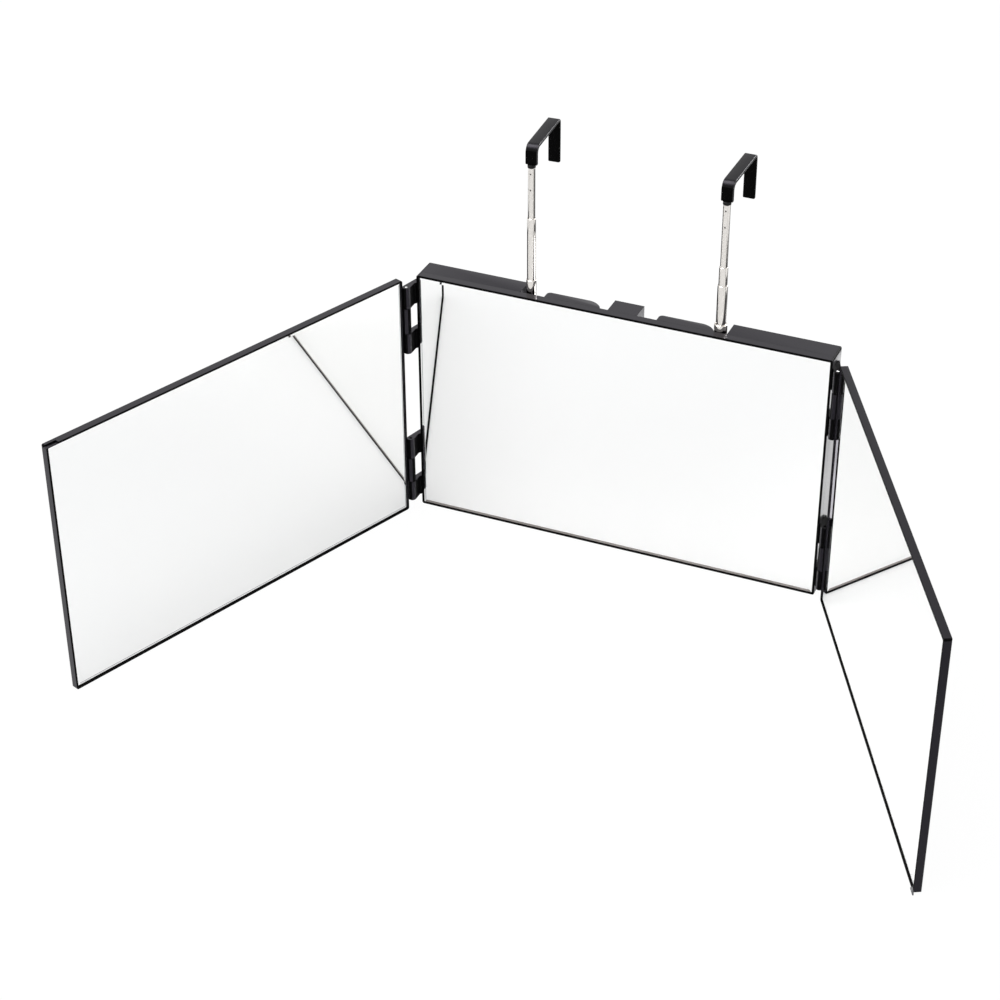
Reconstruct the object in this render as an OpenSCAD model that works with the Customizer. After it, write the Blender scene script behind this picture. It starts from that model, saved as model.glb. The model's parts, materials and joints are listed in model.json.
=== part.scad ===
// Three-panel folding mirror with two telescopic over-door hooks.
// Millimetres. X runs along the centre panel, Y points to its back and Z up.
// The origin is the middle of the flat bottom of the centre panel.

/* [Mirror panels] */
// Width of each of the three panels
panel_w = 300; // [270:5:340]
// Height of each of the three panels
panel_h = 188; // [180:2:220]
// Corner radius of a panel seen from the front
corner_r = 1.5; // [1.5:0.5:6]
// Width of the frame lip around a glass
lip_w = 1.5; // [1.25:0.25:3]
// Smallest radius of the upright corners of a frame's opening
least_r = 0.5; // [0.3:0.1:1]
// Depth of the centre glass behind the front of its lip
glass_recess = 0.2; // [0.1:0.1:0.6]
// Depth of a side glass behind the front of its lip
side_recess = 0.8; // [0.2:0.1:1]
// Thickness of the centre glass
glass_t = 3; // [2:0.25:3]
// Thickness of a side glass
side_glass_t = 2.4; // [2:0.2:2.8]
// Clearance between a glass and the frame around it
glass_gap = 0.2; // [0.1:0.05:0.4]
// Width of the polished bevel along the edges of a glass
bevel_w = 1.9; // [1:0.1:4]
// Depth of that bevel at the edge of the glass
bevel_d = 0.15; // [0.1:0.05:0.6]
// Thickness of the mounting tape behind a glass
tape_t = 0.3; // [0.2:0.1:0.5]
// Distance from the edge of a glass to the edge of its tape
tape_inset = 6; // [3:1:20]
// Extra width of a side panel over the centre panel
side_extra = 1.4; // [0:0.2:2]
// Thickness of a side panel
side_t = 5.3; // [5.3:0.1:7]
// Opening angle between the left and the centre mirror
left_angle = 111.3; // [60:1:170]
// Opening angle between the right and the centre mirror
right_angle = 117.8; // [60:1:170]
// Radius of the upright rear corners of all panels
edge_r = 1; // [0.6:0.2:2]
// Length of the finger step in the free top corner of the left panel
notch_l = 9.4; // [5:0.2:20]
// Depth of that step below the top edge
notch_d = 1.2; // [0.5:0.1:1.2]
// Width of that step, measured from the front
notch_w = 2.9; // [1.5:0.1:4]
// Radius of the half-round pad on the free bottom corner of the right panel
bumper_r = 3.2; // [2:0.2:5]
// Thickness of that pad, less than the gap between folded panels
bumper_t = 0.8; // [0.5:0.1:1]

/* [Centre housing] */
// Depth of the centre panel from front to back
depth = 20.6; // [20:0.2:26]
// Thickness of the web of the front frame
web_t = 1.8; // [1.2:0.1:1.9]
// Thickness of the side walls of the rear housing
wall_t = 2; // [1.5:0.25:3]
// Thickness of the back wall of the rear housing
back_t = 2; // [1.5:0.25:3]
// Width of the full-depth tab in the middle of the top edge
tab_w = 21.2; // [16:0.2:30]
// Distance from the middle to the outer end of each storage recess
recess_end = 74.5; // [74:0.5:80]
// Height of the storage recesses
recess_h = 33; // [33:1:45]
// Depth of the shallow part of a recess, measured from the back
recess_d = 7.1; // [6:0.1:7.2]
// Distance from the middle to the left end of the left ledge
left_ledge = 57; // [56:0.5:58]
// Distance from the middle to the left end of the right ledge
right_ledge = 24.5; // [24:0.5:25]
// Length of a ledge from its left end to where its right end begins to curve
ledge_l = 29.8; // [28:0.2:30]
// Radius of the left rear corner of a ledge
ledge_r = 2.8; // [1:0.2:4]
// Gap between the long curve at the right end of the right ledge and the outer tube beside it
ledge_gap = 0.45; // [0.3:0.05:1]
// Thickness of the walls and floor of a recess
recess_wall = 2; // [1.5:0.25:3]

/* [Hinges] */
// Distance from the side of the centre panel to a hinge axis
hinge_out = 4; // [4:0.1:6]
// Distance from a hinge axis to the near edge of its side panel
hinge_edge = 3.2; // [3.1:0.1:3.3]
// How far the front of a side panel lies behind its hinge axis
face_offset = 0.3; // [0:0.1:1]
// Gap between two panels that are folded onto each other
stack_gap = 1.5; // [1.3:0.1:2.5]
// Outer diameter of the hinge knuckles
knuckle_d = 5.6; // [5:0.2:5.6]
// Height of the bottom knuckle of a hinge
knuckle_low = 15.8; // [12:0.2:20]
// Height of the middle knuckle of a hinge
knuckle_mid = 19.6; // [12:0.2:24]
// Height of the top knuckle of a hinge
knuckle_top = 16.3; // [12:0.1:20]
// Gap between two knuckles of a hinge
knuckle_gap = 0.35; // [0.3:0.05:0.8]
// Distance from the top of the mirror down to the upper hinges
upper_hinge_drop = 6.1; // [3:0.1:30]
// Height of the lower hinges above the bottom of the mirror
lower_hinge_z = 7.8; // [5:0.2:30]
// Diameter of a hinge pin
pin_d = 2; // [1.5:0.1:3]
// Radial running clearance of a hinge pin in the middle knuckle
pin_play = 0.05; // [0.02:0.01:0.1]
// Length of a centre knuckle that a pin leaves closed below it
pin_floor = 1.6; // [1:0.2:4]
// Depth of the lower pins below the top of their hinge
pin_sink = 2; // [0.5:0.5:4]
// How far the arm of a knuckle reaches back along the side wall
arm_root = 12.8; // [8:0.2:14]
// Thickness of that arm at its rear end
arm_tip = 0.8; // [0.6:0.1:1.5]
// Gap between that arm and the rear housing
arm_gap = 0.2; // [0.1:0.05:0.3]

/* [Telescopic rods] */
// Distance from the middle to the axis of a rod
rod_x = 68.4; // [66:0.2:69]
// Gap between an outer tube and the rail in front of it
rail_gap = 0.3; // [0.3:0.05:0.5]
// Outer diameter of the outer tube
tube0_d = 9; // [8.6:0.1:9.2]
// Outer diameter of the lower tube
tube1_d = 7; // [6.8:0.1:7.2]
// Outer diameter of the middle tube
tube2_d = 6; // [5.9:0.1:6.1]
// Outer diameter of the upper tube
tube3_d = 5; // [4.8:0.1:5]
// Wall of every tube
tube_wall = 0.3; // [0.25:0.05:0.4]
// Length of the outer tube
tube0_l = 70; // [66:1:72]
// Extra length of each tube over the tube that it slides in
tube_step = 1; // [0.5:0.1:1.5]
// Height of the pushed-in tubes above the floor of their housing
foot_gap = 0.3; // [0.3:0.1:1]
// Radial running clearance of tubes, bushes and stems
tube_play = 0.05; // [0.02:0.01:0.08]
// Length of the narrowed mouth of a tube
mouth_l = 3; // [2:0.5:4]
// Length of the friction bush at the foot of a tube
bush_l = 8; // [5:0.5:9]
// Outer diameter of the guide tube that is fixed in the housing
guide_d = 11; // [10.8:0.1:11.4]
// Wall of the guide tube
guide_wall = 0.5; // [0.4:0.05:0.6]
// Gap between the guide tube and the web in front of it
guide_gap = 0.1; // [0:0.05:0.2]
// Depth of the dimples that hold a hook stem in its tube
dimple_d = 0.2; // [0.1:0.05:0.2]
// Diameter of those dimples
dimple_w = 1.4; // [1:0.1:2]
// Distance of the upper dimple below the top of its tube
dimple_top = 4.2; // [3:0.2:6]
// Distance between the two dimples
dimple_pitch = 11.8; // [8:0.2:13]
// How far the left outer tube stands out of its lowest position
left_out0 = 0; // [0:0.1:42]
// How far the left lower tube stands out of the outer tube
left_out1 = 25.3; // [1:0.1:59]
// How far the left middle tube stands out of the lower tube
left_out2 = 46.1; // [1:0.1:59]
// How far the left upper tube stands out of the middle tube
left_out3 = 37.2; // [1:0.1:59]
// How far the right outer tube stands out of its lowest position
right_out0 = 20.6; // [0:0.1:42]
// How far the right lower tube stands out of the outer tube
right_out1 = 29.1; // [1:0.1:59]
// How far the right middle tube stands out of the lower tube
right_out2 = 13.5; // [1:0.1:59]
// How far the right upper tube stands out of the middle tube
right_out3 = 45.4; // [1:0.1:59]

/* [Hooks] */
// Width of the hook strap
strap_w = 8.4; // [7:0.2:8.6]
// Thickness of the hook strap
strap_t = 2.1; // [1.6:0.1:2.6]
// Distance from the rod's axis to the inside of the rear leg
hook_reach = 46; // [45:0.5:47]
// Height of the strap's top above the upper tube
hook_rise = 15.7; // [14:0.1:18]
// Length of the rear leg below the strap's top
hook_leg = 32.4; // [20:0.2:33]
// Outer radius of the front bend
front_bend = 6; // [4:0.5:8]
// Outer radius of the rear bend
rear_bend = 3.4; // [2.8:0.2:6]
// Corner radius of the strap's ends
strap_r = 0.6; // [0.4:0.2:2]
// Turn of the left hook away from straight back
left_hook_turn = 3.5; // [0:0.5:10]
// Turn of the right hook away from straight back
right_hook_turn = 0; // [0:0.5:10]
// Diameter of the collar between a tube and its hook
collar_d = 5.6; // [5.4:0.1:7]
// Height of that collar below the strap
collar_h = 2.2; // [1.5:0.1:3]
// Depth of the slot in the collar that holds the strap
collar_slot = 1.2; // [0.6:0.2:1.4]
// Width of the strap's tongue in that slot
tongue_w = 4; // [3:0.2:5]
// Length of the stem inside the upper tube
stem_l = 22; // [18:1:24]
// Gap between a stored hook and the top of the housing
stow_gap = 0.3; // [0.3:0.1:1]

/* [Screws] */
// Shank diameter of the housing screws
screw_d = 3; // [2.5:0.5:4]
// Head diameter of the housing screws
screw_head_d = 5.6; // [5:0.2:7]
// Head height of the housing screws
screw_head_h = 2; // [1.5:0.1:2.5]
// Length of a screw's shank
screw_l = 8.5; // [7:0.5:10]
// Width of the cross slots in the screw heads
screw_slot = 0.8; // [0.5:0.1:1.2]
// Distance of a screw's tip from the web of the front frame
screw_tip = 0.5; // [0.3:0.1:1]
// Wall of the screw bosses
boss_wall = 2; // [1.5:0.25:3]
// Height of the bosses on the front frame
boss_h = 4; // [3:0.5:5]
// Clearance around the screws in the rear housing
screw_gap = 0.2; // [0.1:0.1:0.4]
// Distance of the outer screws from the edges of the panel
screw_edge = 14; // [12:1:20]
// Distance of the inner screws from the middle of the panel
screw_inner_x = 46; // [30:1:60]

/* [Hidden] */
$fn = 48;
// Hairline by which a cutting body runs past the face that it cuts
cut = 0.5;

// Faces of the centre panel along Y
front_y = -depth / 2;
back_y = depth / 2;
web_back_y = front_y + glass_recess + glass_t + tape_t + web_t;
side_tape_y = side_recess + side_glass_t;
rod_y = web_back_y + guide_gap + guide_d / 2;
split_y = rod_y - tube0_d / 2 - rail_gap;
half_w = panel_w / 2;

// Opening of a frame for its glass
opening_w = panel_w - 2 * lip_w;
opening_h = panel_h - 2 * lip_w;
glass_w = opening_w - 2 * glass_gap;
glass_h = opening_h - 2 * glass_gap;
opening_r = max(corner_r - lip_w, least_r);

// Side panels
side_w = panel_w + side_extra;
side_opening_w = side_w - 2 * lip_w;
side_glass_w = side_opening_w - 2 * glass_gap;
free_end = hinge_edge + side_w;

// Storage recesses in the back of the top edge
tab_half = tab_w / 2;
recess_z = panel_h - recess_h;
ledge_back_y = back_y - recess_d;

// The long curve of the right ledge just clears the outer tube beside it
curve_clear = tube0_d / 2 + ledge_gap;
curve_x_off = rod_x - right_ledge - ledge_l;
curve_y_off = ledge_back_y - rod_y;
ledge_curve = (pow(curve_x_off, 2) + pow(curve_y_off, 2) - pow(curve_clear, 2))
              / (2 * (curve_clear + curve_y_off));

// Hinges. The left axis lies further forward, so the left panel folds over the right one
hinge_x = half_w + hinge_out;
right_hinge_y = front_y - stack_gap + face_offset;
left_hinge_y = right_hinge_y - side_t - stack_gap;
hinge_h = knuckle_low + knuckle_mid + knuckle_top;
upper_hinge_z = panel_h - upper_hinge_drop - hinge_h;
knuckle_r = knuckle_d / 2;

// Rods. A pushed-in rod lets its hook rest just above the ledge, with all tubes on one floor
stowed_top = panel_h + stow_gap + strap_t - hook_rise;
tube0_low = stowed_top - 3 * tube_step;
tube1_l = tube0_l + tube_step;
tube2_l = tube1_l + tube_step;
tube3_l = tube2_l + tube_step;
tube0_bore = tube0_d - 2 * tube_wall;
tube1_bore = tube1_d - 2 * tube_wall;
tube2_bore = tube2_d - 2 * tube_wall;
tube3_bore = tube3_d - 2 * tube_wall;
guide_bore = guide_d - 2 * guide_wall;
guide_top = recess_z;
guide_bottom = tube0_low - tube0_l - foot_gap;
guide_l = guide_top - guide_bottom;
left_top0 = tube0_low + left_out0;
left_top1 = left_top0 + left_out1;
left_top2 = left_top1 + left_out2;
left_top3 = left_top2 + left_out3;
right_top0 = tube0_low + right_out0;
right_top1 = right_top0 + right_out1;
right_top2 = right_top1 + right_out2;
right_top3 = right_top2 + right_out3;

// Screw places as X and Z pairs
screw_x = half_w - screw_edge;
screw_low_z = screw_edge;
screw_top_z = panel_h - screw_edge;
screw_places = [
    [-screw_x, screw_low_z], [screw_x, screw_low_z],
    [-screw_x, panel_h / 2], [screw_x, panel_h / 2],
    [-screw_x, screw_top_z], [screw_x, screw_top_z],
    [-screw_inner_x, screw_low_z], [screw_inner_x, screw_low_z],
    [0, recess_z - screw_edge]
];
boss_r = screw_d / 2 + boss_wall;
boss_split_y = web_back_y + boss_h;
screw_tip_y = web_back_y + screw_tip;
screw_seat_y = screw_tip_y + screw_l;

plastic = [0.09, 0.09, 0.10];
dark_plastic = [0.06, 0.06, 0.07];
mirror_silver = [0.86, 0.88, 0.90];
tape_grey = [0.55, 0.55, 0.52];
chrome = [0.80, 0.80, 0.82];
steel = [0.62, 0.63, 0.65];
bronze = [0.66, 0.50, 0.28];
clear_rubber = [0.70, 0.71, 0.73];

// A rectangle with round corners, centred on X and standing on the X axis
module rounded_outline(w, h, r) {
    translate([-w / 2 + r, 0]) square([w - 2 * r, h]);
    translate([-w / 2, r]) square([w, h - 2 * r]);
    for (x = [-w / 2 + r, w / 2 - r], z = [r, h - r])
        translate([x, z]) circle(r);
}

// A standing plate with round corners between two depths
module plate(w, h, r, from_y, to_y) {
    translate([0, to_y, 0])
        rotate([90, 0, 0])
            linear_extrude(to_y - from_y)
                rounded_outline(w, h, r);
}

// A standing plate that also has round upright corners at its back
module backed_plate(w, h, r, from_y, to_y) {
    intersection() {
        plate(w, h, r, from_y, to_y);
        linear_extrude(h) {
            translate([-w / 2, from_y]) square([w, to_y - from_y - edge_r]);
            translate([-w / 2 + edge_r, from_y]) square([w - 2 * edge_r, to_y - from_y]);
            for (x = [-w / 2 + edge_r, w / 2 - edge_r])
                translate([x, to_y - edge_r]) circle(edge_r);
        }
    }
}

// A block between two corners
module block(low, high) {
    translate(low) cube(high - low);
}

// A mirror glass of width w and depth thick whose front edges are bevelled; it starts at from_y
module bevelled_glass(w, from_y, thick) {
    lean = atan(bevel_d / bevel_w);
    reach = 4 * bevel_w;
    difference() {
        translate([0, 0, lip_w + glass_gap])
            plate(w, glass_h, opening_r, from_y, from_y + thick);
        for (side = [-1, 1]) {
            translate([side * (w / 2 - bevel_w), from_y, 0])
                rotate([0, 0, side * lean])
                    translate([side > 0 ? 0 : -reach, -reach, 0])
                        cube([reach, reach, panel_h]);
            translate([0, from_y, panel_h / 2 + side * (glass_h / 2 - bevel_w)])
                rotate([-side * lean, 0, 0])
                    translate([-w / 2, -reach, side > 0 ? 0 : -reach])
                        cube([w, reach, reach]);
        }
    }
}

// A tape sheet behind a glass of width w; its front face is at from_y
module tape_sheet(w, from_y) {
    low = lip_w + glass_gap + tape_inset;
    block([-w / 2 + tape_inset, from_y, low],
          [w / 2 - tape_inset, from_y + tape_t, panel_h - low]);
}

// A pin or bore on a standing axis
module upright(r, from_z, to_z) {
    translate([0, 0, from_z]) cylinder(r = r, h = to_z - from_z);
}

// A round bar along Y between two depths
module level(r, from_y, to_y) {
    translate([0, to_y, 0]) rotate([90, 0, 0]) cylinder(r = r, h = to_y - from_y);
}

// One centre knuckle with its arm, on the right-hand side. The arm grows out of the frame's
// side wall and also lies along the wall of the rear housing
module centre_knuckle(axis_y, from_z, height) {
    root_back = front_y + arm_root;
    root_front = front_y + lip_w / 2;
    step_front = front_y - stack_gap / 2;
    translate([0, 0, from_z]) {
        translate([hinge_x, axis_y, 0]) cylinder(r = knuckle_r, h = height);
        linear_extrude(height)
            polygon([
                [hinge_x + knuckle_r * 0.94, axis_y + knuckle_r * 0.34],
                [half_w + arm_gap + arm_tip, root_back],
                [half_w + arm_gap, root_back],
                [half_w + arm_gap, split_y],
                [half_w - wall_t / 2, split_y],
                [half_w - wall_t / 2, root_front],
                [half_w, root_front],
                [hinge_x - knuckle_r, max(step_front, axis_y)],
                [hinge_x - knuckle_r, axis_y]
            ]);
    }
}

// Both outer knuckles of one hinge, on the right-hand side
module centre_knuckles(axis_y, hinge_z) {
    difference() {
        union() {
            centre_knuckle(axis_y, hinge_z, knuckle_low - knuckle_gap / 2);
            centre_knuckle(axis_y, hinge_z + knuckle_low + knuckle_mid + knuckle_gap / 2,
                           knuckle_top - knuckle_gap / 2);
        }
        translate([hinge_x, axis_y, 0])
            upright(pin_d / 2, hinge_z + pin_floor, hinge_z + hinge_h + cut);
    }
}

// A hinge pin, on the right-hand side; sink is the depth of its top
module hinge_pin(axis_y, hinge_z, sink) {
    translate([hinge_x, axis_y, 0])
        upright(pin_d / 2, hinge_z + pin_floor, hinge_z + hinge_h - sink);
}

// What follows is drawn on the right-hand side and mirrored for the left
module on_side(side) {
    if (side > 0) children();
    else mirror([1, 0, 0]) children();
}

// Turns a flat side panel, drawn with its hinge axis on Z, to its opening angle
module opened(side, axis_y, angle) {
    on_side(side)
        translate([hinge_x, axis_y, 0])
            rotate([0, 0, angle - 180])
                children();
}

// Moves a plate that is centred on X so that its near edge clears the hinge axis
module beside_hinge() {
    translate([hinge_edge + side_w / 2, face_offset, 0]) children();
}

module center_frame() {
    color(plastic) difference() {
        union() {
            plate(panel_w, panel_h, corner_r, front_y, split_y);
            for (z = [lower_hinge_z, upper_hinge_z]) {
                on_side(1) centre_knuckles(right_hinge_y, z);
                on_side(-1) centre_knuckles(left_hinge_y, z);
            }
            for (p = screw_places)
                translate([p[0], 0, p[1]]) level(boss_r, split_y - cut, boss_split_y);
        }
        translate([0, 0, lip_w])
            plate(opening_w, opening_h, opening_r, front_y - cut, web_back_y - web_t);
        difference() {
            translate([0, 0, wall_t])
                plate(panel_w - 2 * wall_t, panel_h - 2 * wall_t, opening_r, web_back_y, split_y + cut);
            for (p = screw_places)
                translate([p[0], 0, p[1]]) level(boss_r, web_back_y - cut, boss_split_y + cut);
        }
        for (p = screw_places)
            translate([p[0], 0, p[1]]) level(screw_d / 2, screw_tip_y, boss_split_y + cut);
    }
}

module center_glass() {
    color(mirror_silver) bevelled_glass(glass_w, front_y + glass_recess, glass_t);
}

module center_tape() {
    color(tape_grey) tape_sheet(glass_w, front_y + glass_recess + glass_t);
}

// Solid around one storage recess, on the right-hand side
module recess_body() {
    block([tab_half - recess_wall, split_y, recess_z - recess_wall],
          [recess_end + recess_wall, back_y, panel_h]);
    block([tab_half - recess_wall, web_back_y, recess_z - recess_wall],
          [recess_end + recess_wall, split_y + cut, panel_h - wall_t]);
}

// Space of one storage recess without its ledge, on the right-hand side
module recess_space() {
    block([tab_half, split_y, recess_z], [recess_end, back_y + cut, panel_h + cut]);
}

// A ledge seen from above; from_x is its left end. Its right end curves forward
module ledge_outline(from_x) {
    curve_x = from_x + ledge_l;
    translate([from_x, split_y]) square([ledge_l, ledge_back_y - ledge_r - split_y]);
    translate([from_x + ledge_r, split_y]) square([ledge_l - ledge_r, ledge_back_y - split_y]);
    translate([from_x + ledge_r, ledge_back_y - ledge_r]) circle(ledge_r);
    intersection() {
        hull()
            for (y = [ledge_back_y - ledge_curve, min(ledge_back_y - ledge_curve, split_y)])
                translate([curve_x, y]) circle(ledge_curve, $fn = 4 * $fn);
        translate([curve_x - cut, split_y]) square([ledge_curve + cut, ledge_back_y - split_y]);
    }
}

// A ledge that stands in front in a recess; from_x is its left end
module ledge(from_x) {
    translate([0, 0, recess_z - cut])
        linear_extrude(panel_h - recess_z + cut) ledge_outline(from_x);
}

// Hollow of a ledge, which the front frame closes
module ledge_hollow(from_x) {
    block([from_x + recess_wall, web_back_y - cut, recess_z + recess_wall],
          [from_x + ledge_l, ledge_back_y - recess_wall, panel_h - wall_t - recess_wall]);
}

// Cradle that holds one guide tube below its recess, on the right-hand side
module guide_cradle() {
    block([rod_x - guide_d / 2 - recess_wall, web_back_y, guide_bottom - recess_wall],
          [rod_x + guide_d / 2 + recess_wall, back_y - back_t + cut, recess_z]);
}

// Seat of one guide tube, open towards the front frame, on the right-hand side
module guide_seat() {
    translate([rod_x, rod_y, 0]) upright(guide_d / 2, guide_bottom, guide_top + cut);
    block([rod_x - guide_d / 2, web_back_y - cut, guide_bottom],
          [rod_x + guide_d / 2, rod_y, guide_top - recess_wall]);
}

module rear_housing() {
    color(plastic) difference() {
        union() {
            difference() {
                union() {
                    difference() {
                        backed_plate(panel_w, panel_h, corner_r, split_y, back_y);
                        translate([0, 0, wall_t])
                            plate(panel_w - 2 * wall_t, panel_h - 2 * wall_t, opening_r,
                                  split_y - cut, back_y - back_t);
                    }
                    for (side = [-1, 1])
                        on_side(side) {
                            recess_body();
                            guide_cradle();
                        }
                    for (p = screw_places)
                        translate([p[0], 0, p[1]])
                            level(screw_head_d / 2 + screw_gap + boss_wall,
                                  boss_split_y, back_y - back_t + cut);
                }
                for (side = [-1, 1]) on_side(side) recess_space();
            }
            for (x = [-left_ledge, right_ledge]) ledge(x);
        }
        for (x = [-left_ledge, right_ledge]) ledge_hollow(x);
        for (side = [-1, 1]) on_side(side) guide_seat();
        for (p = screw_places)
            translate([p[0], 0, p[1]]) {
                level(screw_d / 2 + screw_gap, boss_split_y - cut, back_y + cut);
                level(screw_head_d / 2 + screw_gap, screw_seat_y, back_y + cut);
            }
    }
}

module housing_screws() {
    color(steel)
        for (p = screw_places)
            translate([p[0], 0, p[1]]) difference() {
                union() {
                    level(screw_d / 2, screw_tip_y, screw_seat_y + cut);
                    level(screw_head_d / 2, screw_seat_y, screw_seat_y + screw_head_h);
                }
                for (turn = [0, 90])
                    rotate([0, turn, 0])
                        block([-screw_head_d / 3, screw_seat_y + screw_head_h / 2, -screw_slot / 2],
                              [screw_head_d / 3, screw_seat_y + screw_head_h + cut, screw_slot / 2]);
            }
}

// Frame of a side panel, drawn flat beside its hinge axis
module side_frame() {
    difference() {
        union() {
            beside_hinge() backed_plate(side_w, panel_h, corner_r, 0, side_t);
            for (z = [lower_hinge_z + knuckle_low, upper_hinge_z + knuckle_low])
                translate([0, 0, z + knuckle_gap / 2]) {
                    cylinder(r = knuckle_r, h = knuckle_mid - knuckle_gap);
                    block([0, face_offset, 0],
                          [hinge_edge + lip_w / 2, knuckle_r, knuckle_mid - knuckle_gap]);
                }
        }
        beside_hinge()
            translate([0, 0, lip_w])
                plate(side_opening_w, opening_h, opening_r, -cut, side_tape_y + tape_t);
        for (z = [lower_hinge_z, upper_hinge_z])
            upright(pin_d / 2 + pin_play, z, z + hinge_h);
    }
}

module left_frame() {
    color(plastic) opened(-1, left_hinge_y, left_angle) difference() {
        side_frame();
        block([free_end - notch_l, face_offset - cut, panel_h - notch_d],
              [free_end + cut, face_offset + notch_w, panel_h + cut]);
    }
}

module right_frame() {
    color(plastic) opened(1, right_hinge_y, right_angle) side_frame();
}

// Soft half-round pad that stands on the lip at the corner of the right panel
module right_bumper() {
    color(clear_rubber) opened(1, right_hinge_y, right_angle)
        intersection() {
            translate([free_end - lip_w, 0, 0])
                level(bumper_r, face_offset - bumper_t, face_offset);
            block([hinge_edge, face_offset - bumper_t, 0],
                  [free_end + bumper_r, face_offset, bumper_r + cut]);
        }
}

module left_glass() {
    color(mirror_silver) opened(-1, left_hinge_y, left_angle)
        beside_hinge() bevelled_glass(side_glass_w, side_recess, side_glass_t);
}

module right_glass() {
    color(mirror_silver) opened(1, right_hinge_y, right_angle)
        beside_hinge() bevelled_glass(side_glass_w, side_recess, side_glass_t);
}

module left_tape() {
    color(tape_grey) opened(-1, left_hinge_y, left_angle)
        beside_hinge() tape_sheet(side_glass_w, side_tape_y);
}

module right_tape() {
    color(tape_grey) opened(1, right_hinge_y, right_angle)
        beside_hinge() tape_sheet(side_glass_w, side_tape_y);
}

module upper_left_hinge_pin() {
    color(steel) on_side(-1) hinge_pin(left_hinge_y, upper_hinge_z, 0);
}

module lower_left_hinge_pin() {
    color(steel) on_side(-1) hinge_pin(left_hinge_y, lower_hinge_z, pin_sink);
}

module upper_right_hinge_pin() {
    color(steel) on_side(1) hinge_pin(right_hinge_y, upper_hinge_z, 0);
}

module lower_right_hinge_pin() {
    color(steel) on_side(1) hinge_pin(right_hinge_y, lower_hinge_z, pin_sink);
}

// A tube with a narrowed mouth for the next tube; top is its upper end
module telescopic_tube(outer_d, bore_d, mouth_d, length, top) {
    difference() {
        upright(outer_d / 2, top - length, top);
        upright(bore_d / 2, top - length - cut, top - mouth_l);
        upright(mouth_d / 2, top - length - cut, top + cut);
    }
}

// A friction bush around the foot of a tube; foot is the tube's lower end
module friction_bush(outer_d, inner_d, foot) {
    difference() {
        upright(outer_d / 2, foot, foot + bush_l);
        upright(inner_d / 2, foot - cut, foot + bush_l + cut);
    }
}

// Places what is drawn on the axis of a rod
module on_rod(side) {
    translate([side * rod_x, rod_y, 0]) children();
}

module guide_tube() {
    telescopic_tube(guide_d, guide_bore, tube0_d + 2 * tube_play, guide_l, guide_top);
}

module outer_tube(top) {
    telescopic_tube(tube0_d, tube0_bore, tube1_d + 2 * tube_play, tube0_l, top);
}

module lower_tube(top) {
    telescopic_tube(tube1_d, tube1_bore, tube2_d + 2 * tube_play, tube1_l, top);
}

module middle_tube(top) {
    telescopic_tube(tube2_d, tube2_bore, tube3_d + 2 * tube_play, tube2_l, top);
}

// Upper tube, with the two dimples that keep the hook stem in place
module upper_tube(top) {
    difference() {
        telescopic_tube(tube3_d, tube3_bore, tube3_bore, tube3_l, top);
        for (z = [top - dimple_top, top - dimple_top - dimple_pitch])
            translate([0, 0, z]) level(dimple_w / 2, -tube3_d / 2 - cut, -tube3_d / 2 + dimple_d);
    }
}

// Side outline of the hook strap: front leg on the Z axis, rear leg behind it
module strap_outline() {
    inner_front = front_bend - strap_t;
    inner_rear = rear_bend - strap_t;
    front = -strap_t / 2;
    rear = hook_reach + strap_t;
    difference() {
        union() {
            translate([front, collar_h]) square([strap_t, hook_rise - front_bend - collar_h]);
            translate([front + front_bend, hook_rise - strap_t])
                square([rear - front - front_bend - rear_bend, strap_t]);
            translate([hook_reach, hook_rise - hook_leg])
                square([strap_t, hook_leg - rear_bend]);
            intersection() {
                translate([front + front_bend, hook_rise - front_bend]) circle(front_bend);
                translate([front, hook_rise - front_bend]) square(front_bend);
            }
            intersection() {
                translate([rear - rear_bend, hook_rise - rear_bend]) circle(rear_bend);
                translate([rear - rear_bend, hook_rise - rear_bend]) square(rear_bend);
            }
        }
        translate([front + front_bend, hook_rise - front_bend]) circle(inner_front);
        translate([rear - rear_bend, hook_rise - rear_bend]) circle(inner_rear);
    }
}

// What is taken off the two corners at the lower end of a strap leg
module leg_corners(y, z) {
    for (side = [-1, 1])
        difference() {
            block([side * strap_w / 2 - strap_r, y - strap_t, z - cut],
                  [side * strap_w / 2 + strap_r, y + strap_t, z + strap_r]);
            translate([side * (strap_w / 2 - strap_r), 0, z + strap_r])
                level(strap_r, y - 2 * strap_t, y + 2 * strap_t);
            block([-strap_w / 2 + strap_r, y - 2 * strap_t, z],
                  [strap_w / 2 - strap_r, y + 2 * strap_t, z + 2 * strap_r]);
        }
}

// A hook in its own place: the origin is the top of the upper tube, the rear leg lies along Y
module hook_strap() {
    difference() {
        rotate([90, 0, 90])
            translate([0, 0, -strap_w / 2])
                linear_extrude(strap_w) strap_outline();
        leg_corners(0, collar_h);
        leg_corners(hook_reach + strap_t / 2, hook_rise - hook_leg);
    }
    block([-tongue_w / 2, -strap_t / 2, collar_h - collar_slot],
          [tongue_w / 2, strap_t / 2, collar_h + cut]);
}

// Stem that turns in the upper tube, with the slotted collar that carries the strap
module hook_stem() {
    difference() {
        union() {
            upright(tube3_bore / 2 - tube_play, -stem_l, cut);
            upright(collar_d / 2, 0, collar_h);
        }
        block([-tongue_w / 2, -strap_t / 2, collar_h - collar_slot],
              [tongue_w / 2, strap_t / 2, collar_h + cut]);
    }
}

// Places a hook on the top of its upper tube
module hooked(side, top, turn) {
    on_rod(side) translate([0, 0, top]) rotate([0, 0, -side * turn]) children();
}

module left_guide_tube() { color(chrome) on_rod(-1) guide_tube(); }
module right_guide_tube() { color(chrome) on_rod(1) guide_tube(); }

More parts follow.
